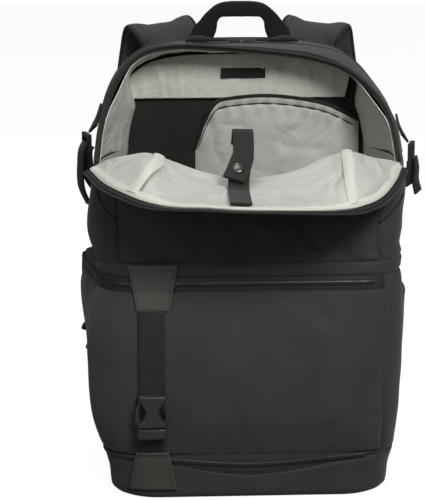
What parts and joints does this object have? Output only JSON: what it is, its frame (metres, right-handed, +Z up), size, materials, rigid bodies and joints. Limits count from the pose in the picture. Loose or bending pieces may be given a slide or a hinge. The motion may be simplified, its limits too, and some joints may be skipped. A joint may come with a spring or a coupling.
{
  "type": "camera backpack",
  "caption": "Padded daypack with a zipped wrap-round lower door, an open top compartment whose lid is folded forward, laptop slot, handle, shoulder straps and a front buckle strap.",
  "frame": {"origin": "middle of the bounding box in plan, on the ground under the flat base", "axes": "+Z up, -Y towards the front with the buckle strap, +Y towards the wearer's back, +X to the side with the slip pocket"},
  "size_m": [0.373, 0.4224, 0.4951],
  "materials": {
    "charcoal_nylon": "woven matt nylon, charcoal",
    "black_webbing": "woven webbing and zip tape, near black",
    "black_binding": "black binding tape and padded cloth",
    "pale_lining": "smooth pale grey lining cloth",
    "grey_plastic": "moulded dark grey plastic",
    "gunmetal": "dark metal"
  },
  "bodies": {
    "root": {"base_tub": "charcoal_nylon", "door_panel": "charcoal_nylon", "lower_side_left": "charcoal_nylon", "lower_side_right": "charcoal_nylon", "mid_band": "charcoal_nylon", "side_pocket": "charcoal_nylon", "upper_front": "charcoal_nylon", "upper_side_left": "charcoal_nylon", "upper_side_right": "charcoal_nylon", "crown_gusset": "charcoal_nylon", "laptop_gusset": "charcoal_nylon", "back_panel": "charcoal_nylon", "back_pad_left": "charcoal_nylon", "back_pad_right": "charcoal_nylon", "lumbar_pad": "charcoal_nylon", "shoulder_strap_left": "charcoal_nylon", "anchor_tab_left": "charcoal_nylon", "shoulder_strap_right": "charcoal_nylon", "anchor_tab_right": "charcoal_nylon", "tab_top": "charcoal_nylon", "tab_bottom": "charcoal_nylon", "door_zip_top": "black_webbing", "door_zip_bottom": "black_webbing", "door_zip_side": "black_webbing", "rim_zip": "black_webbing", "lid_zip": "black_webbing", "laptop_zip": "black_webbing", "handle": "black_webbing", "shoulder_web_left": "black_webbing", "shoulder_web_right": "black_webbing", "webbing_upper": "black_webbing", "webbing_lower": "black_webbing", "side_web_left": "black_webbing", "side_tail_left": "black_webbing", "side_web_right": "black_webbing", "side_tail_right": "black_webbing", "snap_strap": "black_webbing", "snap_tab": "black_webbing", "divider_floor": "black_binding", "divider_board": "black_binding", "pocket_binding": "black_binding", "name_patch": "black_binding", "laptop_pull_left": "black_binding", "laptop_pull_right": "black_binding", "door_pull_upper": "black_binding", "door_pull_lower": "black_binding", "lid": "pale_lining", "organiser_pocket": "pale_lining", "back_lining": "pale_lining", "strap_lock_left": "grey_plastic", "strap_lock_right": "grey_plastic", "buckle_female": "grey_plastic", "buckle_male": "grey_plastic", "side_lock_left": "grey_plastic", "side_lock_right": "grey_plastic", "laptop_slider_left": "gunmetal", "laptop_slider_right": "gunmetal", "snap_button": "gunmetal"}
  },
  "joints": []
}
